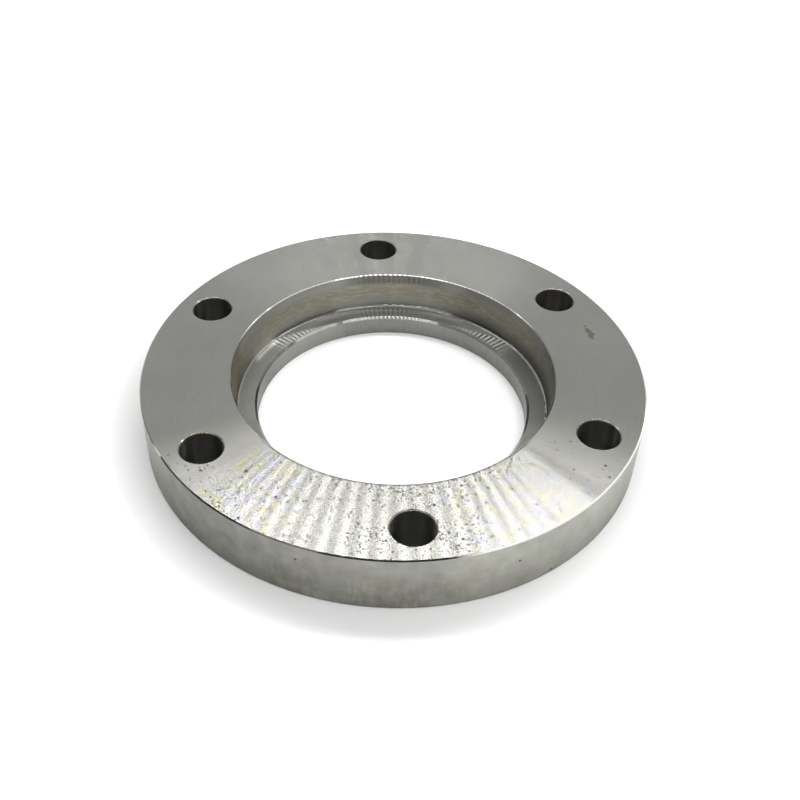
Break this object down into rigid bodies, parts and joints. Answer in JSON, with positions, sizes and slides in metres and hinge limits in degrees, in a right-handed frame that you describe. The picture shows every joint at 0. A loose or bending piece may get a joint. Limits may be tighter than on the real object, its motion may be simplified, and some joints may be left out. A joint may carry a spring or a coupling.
{
  "type": "exhaust flange",
  "caption": "Round steel exhaust flange: a flat ring with a stepped bore that seats a pipe end, and a circle of clearance bolt holes.",
  "frame": {"origin": "centre of the back face, on the ring's axis; the ring rests on this face", "axes": "+Z along the ring's axis, from the back face to the front face that the counterbore opens in; a bolt hole lies on +Y"},
  "size_m": [0.158, 0.158, 0.02],
  "materials": {
    "steel": "bare turned steel with concentric tool marks, small pits and light stains"
  },
  "bodies": {
    "root": {"flange_ring": "steel"}
  },
  "joints": []
}
